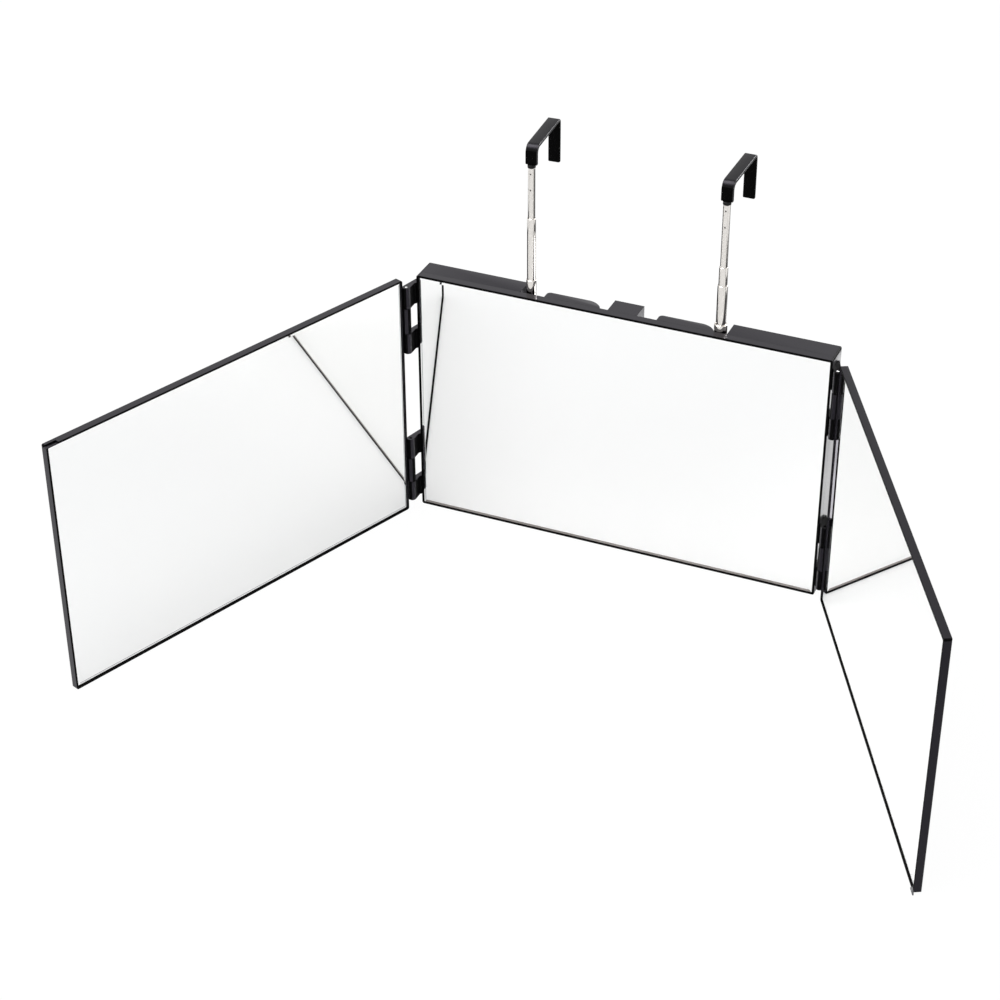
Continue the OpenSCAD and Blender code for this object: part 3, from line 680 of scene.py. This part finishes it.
@dataclass
class PlasticShells:
    """The centre frame, the rear housing and the two side frames."""

    dresser: Dresser
    frame_edge: float = 0.35 * MM
    housing_edge: float = 0.55 * MM
    segments: int = 2
    facing: float = 0.9
    slant: Pair = (0.12, 0.99)
    clear: float = 0.05 * MM
    one_plane: float = 0.4
    smooth_to: float = 30
    round_from: float = 35

    def build(self) -> None:
        """Dresses the four plastic nodes with softened copies."""
        front = Vector((0, -1, 0))
        self.shell("center_frame", self.frame_edge, front, also_shaded=self.on_arm)
        self.shell("rear_housing", self.housing_edge, front)
        # The right frame takes the less glossy copy of the plastic, painted shade.
        for hinge, finish in zip(HINGES, (Finish.PLASTIC, Finish.SIDE_PLASTIC)):
            front = -hinge.panel_matrix().col[1].to_3d()
            self.shell(f"{hinge.side.label}_frame", self.frame_edge, front, finish)

    def on_arm(self, centres: Array, normals: Array) -> Array:
        """Tells which faces of the hinge arms take painted shade.

        These are the upright sides, which lie beside the panel and further from the hinge axis
        than the knuckle does, and the upper faces on the right, where the arm lies in shade.

        Args:
            centres: Middles of the faces.
            normals: Normals of the faces.

        Returns:
            True for each face on an arm that takes painted shade.
        """
        beside = PANEL.width / 2 + self.clear
        arm = (np.abs(centres[:, 0]) > beside) & (np.abs(normals[:, 2]) < 0.5)
        for hinge in HINGES:
            middle = (hinge.side.value * hinge.out, hinge.axis_y)
            distance = np.hypot(centres[:, 0] - middle[0], centres[:, 1] - middle[1])
            arm &= distance > hinge.knuckle + self.clear
        return arm | (centres[:, 0] > beside) & (normals[:, 2] > self.facing)

    def shell(
        self,
        node: str,
        width: float,
        front: Vector,
        finish: Finish = Finish.PLASTIC,
        also_shaded: Optional[Callable[[Array, Array], Array]] = None,
    ) -> None:
        """Copies a CAD node, rounds its sharp edges, and paints shade on them and its front faces.

        The copy's flat faces are merged first, so the rounding runs along whole edges. Curved
        faces keep their facets, which meet at less than the limit angle. A darker, less glossy
        copy of the plastic paints shade on a face where its normal times the front direction is
        more than a limit, where it slants at a rounded corner, with the height of its normal
        between two limits, and on the ledge under a glass.

        Args:
            node: Name of the CAD node.
            width: Width of the rounding.
            front: Direction that the node's mirror faces.
            finish: Finish of the faces that aren't painted in shade.
            also_shaded: Function of face middles and normals that tells further faces in painted shade.
        """
        mesh = frame["nodes"][node].data.copy()
        mesh.name = f"{node}_shell"
        mesh.materials.clear()
        work = bmesh.new()
        work.from_mesh(mesh)
        bmesh.ops.remove_doubles(work, verts=work.verts, dist=10 * MERGE)
        bmesh.ops.dissolve_limit(
            work, angle_limit=math.radians(self.one_plane), verts=work.verts, edges=work.edges
        )
        work.to_mesh(mesh)
        work.free()
        normals = np.array([tuple(p.normal) for p in mesh.polygons])
        centres = np.array([tuple(p.center) for p in mesh.polygons])
        # Painted shade: front faces, slanted faces at rounded corners and the ledge under a glass take the
        # darker plastic.
        shade_mask = normals @ np.array(front) > self.facing
        rise = np.abs(normals[:, 2])
        shade_mask |= (rise > self.slant[0]) & (rise < self.slant[1])
        shade_mask |= (normals[:, 2] > self.facing) & (centres[:, 2] < PANEL.lip + 2 * self.clear)
        if also_shaded is not None:
            shade_mask |= also_shaded(centres, normals)
        mesh.polygons.foreach_set("material_index", shade_mask.astype(np.int32))
        piece = bpy.data.objects.new(f"{node}_shell", mesh)
        bpy.context.scene.collection.objects.link(piece)
        bevel = piece.modifiers.new("soft_edges", "BEVEL")
        bevel.width = width
        bevel.segments = self.segments
        bevel.limit_method = "ANGLE"
        bevel.angle_limit = math.radians(self.round_from)
        bevel.harden_normals = True
        # The rounded edges take the darker plastic too, as painted shade.
        bevel.material = 1
        shade_smooth(mesh, self.smooth_to)
        self.dresser.dress(piece, node, Slot.PLASTIC, finish, Finish.DULL_PLASTIC)


class Edge(Enum):
    """The four straight edges of a rounded rectangle, by their order round the outline."""

    RIGHT = 0
    TOP = 1
    LEFT = 2
    BOTTOM = 3


@dataclass
class MirrorGlasses:
    """The three mirror glasses with their narrow bevels."""

    dresser: Dresser
    bevel_width: float = 1.9 * MM
    bevel_depth: float = 0.03 * MM
    arris: float = 0.12 * MM
    line: Pair = (0.95 * MM, 1.4 * MM)
    corner_steps: int = 6

    def build(self) -> None:
        """Dresses the three glasses, with painted reflections and shade on some bevels."""
        middle = Matrix.Translation((0, PANEL.front_y, 0))
        size = (PANEL.width, PANEL.recess, PANEL.glass)
        self.pane("center", size, middle, reflection_lined=(Edge.LEFT,), ground=(Edge.BOTTOM,))
        left, right = (hinge.panel_matrix() for hinge in HINGES)
        size = (PANEL.side_width, PANEL.side_recess, PANEL.side_glass)
        self.pane("left", size, left, reflection_lined=(Edge.RIGHT,), reflection_lined_inside=(Edge.BOTTOM,))
        self.pane("right", size, right)

    def pane(
        self,
        label: str,
        size: Triple,
        place: Matrix,
        reflection_lined: tuple[Edge, ...] = (),
        reflection_lined_inside: tuple[Edge, ...] = (),
        ground: tuple[Edge, ...] = (),
    ) -> None:
        """Builds one glass as nested rounded rectangles.

        From the back to the front the rings run up the glass's side edge, over a small arris and
        the bevel, whose depth falls evenly to nothing, with a narrow line along it, and onto
        the flat front.

        Args:
            label: Name of the panel.
            size: Width of the panel around the glass, depth of the glass and its thickness.
            place: Place of the panel, whose front plane is Y = 0.
            reflection_lined: Edges whose bevel has a darker line along its middle, a painted reflection.
            reflection_lined_inside: Edges whose bevel has the painted line along its inner side.
            ground: Edges whose bevel is a brown-grey strip of painted reflected shade.
        """
        panel_width, recess, glass = size
        inset = np.array([0, 0, self.arris, *self.line, self.bevel_width])
        fall = 1 - np.maximum(inset - self.arris, 0) / (self.bevel_width - self.arris)
        depth = recess + self.bevel_depth * fall
        depth[0] = recess + glass
        depth[1] += self.arris
        edge = PANEL.lip + PANEL.glass_gap
        corner = np.maximum(PANEL.glass_corner - inset, 0.02 * MM)
        half_height = PANEL.height / 2 - edge - inset
        half_width = panel_width / 2 - edge - inset
        flat = rounded_sections(half_width, half_height, corner, self.corner_steps)
        rings = np.empty((*flat.shape[:2], 3))
        rings[..., 0] = flat[..., 0]
        rings[..., 1] = depth[:, None]
        rings[..., 2] = flat[..., 1] + PANEL.height / 2
        finish = np.zeros((len(inset) - 1, flat.shape[1]), dtype=int)
        straight = self.corner_steps + np.arange(4) * (self.corner_steps + 1)
        # Painted reflections: darker silver on the line of the listed bevels, and a brown-grey strip of
        # reflected shade on the others listed.
        rows = ((slice(3, 4), reflection_lined, 1), (slice(4, 5), reflection_lined_inside, 1), (slice(2, 5), ground, 2))
        for row, edges, slot in rows:
            finish[row, straight[[side.value for side in edges]]] = slot
        piece = ring_piece(f"{label}_glass_pane", rings, place, sharp_from=0.4, finish=finish)
        # The side panes take the darker copy of the silver, painted shade.
        silver = Finish.SILVER if label == "center" else Finish.SIDE_SILVER
        finishes = (silver, Finish.LINE, Finish.GROUND)
        self.dresser.dress(piece, f"{label}_glass", Slot.MIRROR, *finishes)


@dataclass
class HingePins:
    """The four hinge pins. The upper ones end flush and the lower ones sunk."""

    dresser: Dresser
    radius: float = 1 * MM
    dome: float = 0.2 * MM
    edge: float = 0.25 * MM
    upper: Pair = (131.8 * MM, 181.9 * MM)
    lower: Pair = (9.4 * MM, 57.5 * MM)

    def build(self) -> None:
        """Dresses the four pins."""
        for hinge in HINGES:
            for level, (foot, top) in (("upper", self.upper), ("lower", self.lower)):
                self.pin(f"{level}_{hinge.side.label}_hinge_pin", foot, top, hinge.axis())

    def pin(self, node: str, foot: float, top: float, place: Matrix) -> None:
        """Turns a pin whose upper end is a dome, top - dome + dome sin a at radius cos a.

        Args:
            node: Name of the CAD node.
            foot: Height of its lower end.
            top: Height of its upper end.
            place: Place of the hinge axis.
        """
        angle = np.radians(np.linspace(20, 87, 8))
        shaft = [
            (0.05 * MM, foot),
            (self.radius - self.edge, foot),
            (self.radius, foot + self.edge),
            (self.radius, top - self.dome - self.edge * 0.6),
        ]
        crown = np.column_stack([self.radius * np.cos(angle), top - self.dome + self.dome * np.sin(angle)])
        rings = lathe(np.concatenate([shaft, crown]), 32)
        piece = ring_piece(f"{node}_rod", rings, place, sharp_from=40)
        self.dresser.dress(piece, node, Slot.STEEL, Finish.STEEL)


@dataclass
class CornerPad:
    """The half-round pad on the free bottom corner of the right panel."""

    dresser: Dresser
    radius: float = 3.2 * MM
    thickness: float = 0.8 * MM
    edge: float = 0.3 * MM
    node: str = "right_bumper"

    def build(self) -> None:
        """Builds the pad from half discs that shrink over its rounded front edge.

        Its outline is r (cos a, sin a) with a from 0 to 180 degrees, closed along the bottom.
        """
        turn = np.radians(np.linspace(0, 90, 5))
        radius = np.concatenate([[self.radius], self.radius - self.edge * (1 - np.cos(turn))])
        depth = np.concatenate([[0.0], -(self.thickness - self.edge) - self.edge * np.sin(turn)])
        angle = np.linspace(0, np.pi, 40)
        middle = PANEL.side_width / 2 - PANEL.lip
        rings = np.empty((len(radius), len(angle), 3))
        rings[..., 0] = middle + radius[:, None] * np.cos(angle)
        rings[..., 1] = depth[:, None]
        rings[..., 2] = radius[:, None] * np.sin(angle)
        place = HINGES[1].panel_matrix()
        piece = ring_piece("right_corner_pad", rings, place, sharp_from=40)
        self.dresser.dress(piece, self.node, Slot.RUBBER, Finish.RUBBER)


@dataclass
class HookArm:
    """A flat strap hook and the stem that turns in the upper tube."""

    dresser: Dresser
    label: str
    place: Matrix
    width: float = 8.4 * MM
    thickness: float = 2.1 * MM
    reach: float = 46 * MM
    rise: float = 15.7 * MM
    leg: float = 32.4 * MM
    front_bend: float = 6 * MM
    rear_bend: float = 3.4 * MM
    tip: float = 0.6 * MM
    edge: float = 0.45 * MM
    paint_steps: Triple = (66, 56, -60)
    gloss_to: float = 10
    collar_radius: float = 2.8 * MM
    collar_height: float = 2.2 * MM
    stem_radius: float = 2.15 * MM
    stem_length: float = 22 * MM

    def build(self) -> None:
        """Dresses the strap and the stem."""
        self.strap()
        self.stem()

    def path(self) -> tuple[Array, Array, Array, Array]:
        """Computes the middle line of the strap.

        It climbs the front leg, turns back over the front bend, runs level, and goes down
        over the rear bend and the rear leg. A bend's point is centre + r (cos a, sin a) with
        heading a - 90 degrees. Near both ends the points lie closer together.

        Returns:
            Y, Z, heading and distance to the nearer end, one entry a point.
        """
        half = self.thickness / 2
        front_r, rear_r = self.front_bend - half, self.rear_bend - half
        top, rear_y, tip_z = self.rise - half, self.reach + half, self.rise - self.leg
        close = self.tip * np.array([0.0, 0.08, 0.2, 0.4, 0.7, 1.0])
        ends = len(close)
        climb = np.column_stack([np.zeros(ends), self.collar_height + close])
        front = arc((front_r, top - front_r), front_r, 180, 90, 20)
        level = np.column_stack([np.linspace(front_r, rear_y - rear_r, 5)[1:-1], np.full(3, top)])
        rear = arc((rear_y - rear_r, top - rear_r), rear_r, 90, 0, 10)
        fall = np.column_stack([np.full(ends, rear_y), tip_z + close[::-1]])
        points = np.concatenate([climb, front, level, rear, fall])
        bends = (np.linspace(90, 0, 21), np.zeros(3), np.linspace(0, -90, 11))
        heading = np.radians(np.concatenate([np.full(ends, 90.0), *bends, np.full(ends, -90.0)]))
        to_end = np.full(len(points), 2 * self.tip)
        to_end[:ends] = close
        to_end[-ends:] = close[::-1]
        return points[:, 0], points[:, 1], heading, to_end

    def strap(self) -> None:
        """Sweeps a rounded rectangle over the path.

        Near an end the half width falls by tip - sqrt(tip ** 2 - (tip - s) ** 2), with s the
        distance to the end, so that the strap's corners are round. Darker, less glossy copies of
        the paint give painted shade on the legs and the ends of the bends, with a half-dark copy
        on the front bend. One corner has a glossier copy up to the top, so that a lamp puts a
        highlight line there.
        """
        y, z, heading, to_end = self.path()
        short = np.maximum(self.tip - to_end, 0.0)
        half_width = self.width / 2 - self.tip + np.sqrt(self.tip**2 - short**2)
        size = np.full(len(y), 1.0)
        flat = rounded_sections(half_width, size * self.thickness / 2, size * self.edge, 3)
        rings = np.empty((*flat.shape[:2], 3))
        rings[..., 0] = flat[..., 0]
        rings[..., 1] = y[:, None] - flat[..., 1] * np.sin(heading)[:, None]
        rings[..., 2] = z[:, None] + flat[..., 1] * np.cos(heading)[:, None]
        # Painted shade by slope: the legs take the darkest copy of the paint, the front bend a half-dark
        # one; one corner takes the glossier lit copy.
        slope = np.degrees(heading[:-1] + heading[1:]) / 2
        finish = np.select([slope > step for step in self.paint_steps], [2, 1, 0], 2)
        finish = np.repeat(finish[:, None], rings.shape[1], axis=1)
        corner = slice(4, 7)
        finish[slope > self.gloss_to, corner] = 3
        piece = ring_piece(f"{self.label}_hook_strap", rings, self.place, 40, finish)
        paints = (Finish.PAINT, Finish.HALF_PAINT, Finish.DULL_PAINT, Finish.GLOSS_PAINT)
        self.dresser.dress(piece, f"{self.label}_hook", Slot.STRAP, *paints)

    def stem(self) -> None:
        """Turns the stem and, above it, the collar with its two rounded edges."""
        chamfer, edge = 0.4 * MM, 0.3 * MM
        foot = [
            (0.2 * MM, -self.stem_length),
            (self.stem_radius - chamfer, -self.stem_length),
            (self.stem_radius, -self.stem_length + chamfer),
            (self.stem_radius, 0.0),
        ]
        low = arc((self.collar_radius - edge, edge), edge, -90, 0)
        high = arc((self.collar_radius - edge, self.collar_height - edge), edge, 0, 90)
        profile = np.concatenate([foot, low, high, [(0.2 * MM, self.collar_height)]])
        rings = lathe(profile, 48)
        piece = ring_piece(f"{self.label}_hook_collar", rings, self.place, sharp_from=35)
        self.dresser.dress(piece, f"{self.label}_hook_stem", Slot.STEM, Finish.STEM)


@dataclass
class TelescopicRod:
    """One rod: four tubes with their bushes, and the hook on the last one."""

    dresser: Dresser
    side: Side
    tops: tuple[float, float, float, float]
    hook_turn: float
    x: float = 68.4 * MM
    y: float = 0.6 * MM
    stages: tuple[str, ...] = ("outer", "lower", "middle", "upper")
    radii: tuple[float, ...] = (4.5 * MM, 3.5 * MM, 3 * MM, 2.5 * MM)
    mouths: tuple[float, ...] = (3.55 * MM, 3.05 * MM, 2.55 * MM, 2.2 * MM)
    wall: float = 0.3 * MM
    first_length: float = 70 * MM
    step: float = 1 * MM
    mouth_length: float = 3 * MM
    coarse_to: float = 22 * MM
    fine_from: float = 21 * MM
    dent_drops: tuple[float, ...] = (4.2 * MM, 16 * MM)
    dent_depth: float = 0.24 * MM
    dent_size: float = 0.75 * MM
    dent_mark: float = 0.62 * MM

    def build(self) -> None:
        """Dresses the tubes, the bushes, the guide tube and the hook."""
        label, sign = self.side.label, self.side.value
        axis = Matrix.Translation((sign * self.x, self.y, 0))
        for index, stage in enumerate(self.stages):
            self.tube(index, axis)
            self.dresser.carry(f"{label}_{stage}_bush", Finish.BRONZE)
        self.dresser.carry(f"{label}_guide_tube", Finish.CHROME)
        top = Matrix.Translation((sign * self.x, self.y, self.tops[-1]))
        turn = Matrix.Rotation(math.radians(-sign * self.hook_turn), 4, "Z")
        HookArm(self.dresser, label, top @ turn).build()

    def tube(self, index: int, axis: Matrix) -> None:
        """Turns a thin tube with a rolled mouth, and dents the upper one twice.

        A dent lowers the wall by depth * exp(-(distance / size) ** 2), where distance is
        measured on the wall from the middle of the dent, which faces the front.

        Args:
            index: Place of the tube in the rod, from the outer one.
            axis: Place of the rod's axis.
        """
        outer, mouth, top = self.radii[index], self.mouths[index], self.tops[index]
        bore, foot = outer - self.wall, top - self.first_length - index * self.step
        upper = self.stages[index] == "upper"
        roll = min(self.wall, (outer - mouth) * 0.9)
        coarse = np.linspace(foot, top - self.coarse_to, 4)
        fine = np.linspace(top - self.fine_from, top - roll, 90 if upper else 3)
        wall = np.concatenate([coarse, fine])
        lip = arc((outer - roll, top - roll), roll, 0, 90)[1:]
        inner_lip = arc((mouth + roll, top - roll), roll, 90, 180)[1:]
        throat = [(mouth, top - 0.87 * self.mouth_length), (bore, top - self.mouth_length)]
        wall = np.column_stack([np.full(len(wall), outer), wall])
        profile = np.concatenate([[(bore, foot)], wall, lip, inner_lip, throat])
        rings = lathe(profile, 96 if upper else 72)
        # Painted shade: the middles of the upper tube's dents take the dark chrome.
        dent_shade_points = self.dent(rings, outer, top) if upper else None
        node = f"{self.side.label}_{self.stages[index]}_tube"
        piece = ring_piece(f"{node}_sleeve", rings, axis, 35, dent_shade_points, closed=True)
        self.dresser.dress(piece, node, Slot.CHROME, Finish.CHROME, Finish.PUNCHED)

    def dent(self, rings: Array, outer: float, top: float) -> Array:
        """Presses the two dents into the outside of the rings.

        Args:
            rings: Points of the tube, which are changed in place.
            outer: Radius of the tube.
            top: Height of its upper end.

        Returns:
            1 for each point in the middle of a dent, where darker chrome paints the dent's shade, and else
            0.
        """
        outside = np.hypot(rings[..., 0], rings[..., 1]) > outer - 0.01 * MM
        turn = np.arctan2(rings[..., 0], -rings[..., 1])
        dent_shade_points = np.zeros(outside.shape, dtype=int)
        for drop in self.dent_drops:
            distance = np.hypot(turn * outer, rings[..., 2] - (top - drop))
            depth = self.dent_depth * np.exp(-((distance / self.dent_size) ** 2)) * outside
            rings[..., :2] *= (1 - depth / outer)[..., None]
            dent_shade_points |= (distance < self.dent_mark) & outside
        return dent_shade_points


# Studio


@dataclass(frozen=True)
class FloorCard:
    """A dark card that lies on the floor beside the mirror, given by its corners."""

    name: str
    low: Pair
    high: Pair
    shade: float = 0.004


@dataclass(frozen=True)
class SoftLight:
    """A rectangular soft light."""

    name: str
    place: Triple
    target: Triple
    size: Pair
    watts: float
    lights_matte: bool = True


def floor_panel(name: str, place: Pair, size: Pair, watts: float) -> SoftLight:
    """Returns a light that lies on the floor, faces up and shows in glossy surfaces only."""
    return SoftLight(name, (*place, 0.001), (*place, 1), size, watts, lights_matte=False)


@dataclass
class Studio:
    """White floor, white surroundings, soft lights, and dark cards for the chrome."""

    seen_share: float = 0.93
    mirrored_share: float = 0.25
    half_floor: float = 4.0
    cards: tuple[FloorCard, ...] = (
        FloorCard("right_card", (0.300, -0.060), (0.560, 0.215), 0.08),
        FloorCard("left_card", (-0.560, -0.020), (-0.215, 0.330)),
        FloorCard("front_left_card", (-0.560, -0.180), (-0.320, -0.020)),
        FloorCard("back_card", (-0.300, 0.345), (0.460, 0.620), 0.22),
        FloorCard("back_left_card", (-0.215, 0.255), (0.075, 0.345), 0.12),
        FloorCard("back_right_card", (0.250, 0.215), (0.460, 0.345), 0.15),
        FloorCard("near_card", (-0.150, 0.150), (0.060, 0.252)),
    )
    lights: tuple[SoftLight, ...] = (
        SoftLight("top_softbox", (-0.5, -0.4, 2.2), (0, -0.08, 0.12), (1.6, 1.6), 14),
        SoftLight("right_softbox", (1.9, 0.5, 0.9), (0, -0.08, 0.12), (1.2, 1.2), 8),
        SoftLight("bend_softbox", (-0.55, -0.05, 2.0), (0, 0, 0.28), (1.2, 1.2), 52, False),
        SoftLight("edge_softbox", (0.75, 1.6, 0.95), (0, 0, 0.28), (0.6, 0.6), 36, False),
        floor_panel("wall_panel", (0.225, 0.285), (0.04, 0.10), 0.02),
        floor_panel("tab_panel", (0.098, 0.290), (0.036, 0.08), 0.0145),
        floor_panel("gap_panel", (0.186, 0.150), (0.05, 0.13), 0.014),
        floor_panel("strip_panel_low", (0.190, 0.048), (0.04, 0.05), 0.06),
        floor_panel("strip_panel", (0.240, 0.100), (0.06, 0.09), 0.16),
        floor_panel("strip_panel_far", (0.305, 0.175), (0.07, 0.09), 0.19),
    )

    def build(self) -> None:
        """Makes the world, the floor, the cards and the lights."""
        self.surroundings()
        self.floor()
        for card in self.cards:
            self.card(card)
        for light in self.lights:
            self.light(light)
        bpy.context.scene.view_settings.view_transform = "Standard"

    @staticmethod
    def surroundings() -> None:
        """Makes the world white for what is seen and mirrored, and softer for what is lit."""
        world = bpy.data.worlds.new("white_room")
        bpy.context.scene.world = world
        world.use_nodes = True
        world.node_tree.nodes.clear()
        graph = NodeGraph(world.node_tree)
        path = graph.add("LightPath").outputs
        share = path["Is Camera Ray"]
        for kind in ("Is Glossy Ray", "Is Transmission Ray"):
            share = graph.add("Math", share, path[kind], operation="MAXIMUM").outputs["Value"]
        lit = graph.add("Background", Color=(0.98, 0.99, 1, 1), Strength=0.85)
        seen = graph.add("Background", Color=(1, 1, 1, 1), Strength=1.0)
        shaders = (lit.outputs["Background"], seen.outputs["Background"])
        mix = graph.add("MixShader", share, *shaders)
        graph.add("OutputWorld", mix.outputs["Shader"])

    @staticmethod
    def sheet(name: str, low: Pair, high: Pair, z: float) -> bpy.types.Object:
        """Lays a flat rectangle on the floor as part of the stage.

        Args:
            name: Name of the object.
            low: Its lowest X and Y.
            high: Its highest X and Y.
            z: Its height.

        Returns:
            The new object.
        """
        mesh = bpy.data.meshes.new(name)
        outline = [(low[0], low[1], z), (high[0], low[1], z), (high[0], high[1], z), (low[0], high[1], z)]
        mesh.from_pydata(outline, [], [(0, 1, 2, 3)])
        obj = bpy.data.objects.new(name, mesh)
        bpy.context.scene.collection.objects.link(obj)
        return obj

    def floor(self) -> None:
        """Lays a pale floor that is seen as almost pure white and keeps a faint shadow."""
        half = self.half_floor
        obj = self.sheet("floor", (-half, -half), (half, half), -0.05 * MM)
        material, graph = blank_material("pale_floor")
        path = graph.add("LightPath").outputs
        terms = (path["Is Glossy Ray"], self.mirrored_share)
        mirrored = graph.add("Math", *terms, operation="MULTIPLY")
        terms = (path["Is Camera Ray"], self.seen_share, mirrored.outputs["Value"])
        share = graph.add("Math", *terms, operation="MULTIPLY_ADD")
        paint = graph.add("BsdfDiffuse", Color=(0.9, 0.9, 0.9, 1))
        white = graph.add("Emission", Color=(1, 1, 1, 1), Strength=1.02)
        shaders = (paint.outputs["BSDF"], white.outputs["Emission"])
        mix = graph.add("MixShader", share.outputs["Value"], *shaders)
        graph.add("OutputMaterial", mix.outputs["Shader"])
        obj.data.materials.append(material)

    def card(self, card: FloorCard) -> None:
        """Lays a dark card that satin and polished surfaces show, but not the mirrors.

        Args:
            card: Its name, corners and shade.
        """
        obj = self.sheet(card.name, card.low, card.high, 0.5 * MM)
        obj.visible_camera = obj.visible_diffuse = obj.visible_shadow = False
        material, graph = blank_material(f"{card.name}_dark")
        grey = (card.shade, card.shade, card.shade, 1)
        dark = graph.add("BsdfPrincipled", Base_Color=grey, Specular_IOR_Level=0.0, Roughness=1.0)
        clear = graph.add("BsdfTransparent")
        mirrored = graph.add("LightPath").outputs["Is Singular Ray"]
        mix = graph.add("MixShader", mirrored, dark.outputs["BSDF"], clear.outputs["BSDF"])
        graph.add("OutputMaterial", mix.outputs["Shader"])
        obj.data.materials.append(material)

    @staticmethod
    def light(light: SoftLight) -> None:
        """Hangs a soft light that faces its target.

        Args:
            light: Its place, size and power.
        """
        data = bpy.data.lights.new(light.name, "AREA")
        data.shape = "RECTANGLE"
        data.size, data.size_y = light.size
        data.energy = light.watts
        obj = bpy.data.objects.new(light.name, data)
        place, target = Vector(light.place), Vector(light.target)
        obj.location = place
        obj.rotation_mode = "QUATERNION"
        obj.rotation_quaternion = (target - place).to_track_quat("-Z", "Y")
        obj.visible_camera = False
        obj.visible_diffuse = light.lights_matte
        bpy.context.scene.collection.objects.link(obj)


# Assembly


def main() -> None:
    """Builds the scene."""
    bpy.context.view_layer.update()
    CameraFit().make()
    Studio().build()
    dresser = Dresser()
    PlasticShells(dresser).build()
    MirrorGlasses(dresser).build()
    HingePins(dresser).build()
    CornerPad(dresser).build()
    left_tops = (171.7 * MM, 197.0 * MM, 243.1 * MM, 280.3 * MM)
    right_tops = (192.3 * MM, 221.4 * MM, 234.9 * MM, 280.3 * MM)
    TelescopicRod(dresser, Side.LEFT, left_tops, hook_turn=3.5).build()
    TelescopicRod(dresser, Side.RIGHT, right_tops, hook_turn=0.0).build()
    dresser.carry("housing_screws", Finish.STEEL)
    for label in ("center", "left", "right"):
        dresser.carry(f"{label}_tape", Finish.FOAM)
    bpy.context.view_layer.update()


if __name__ == "__main__":
    main()
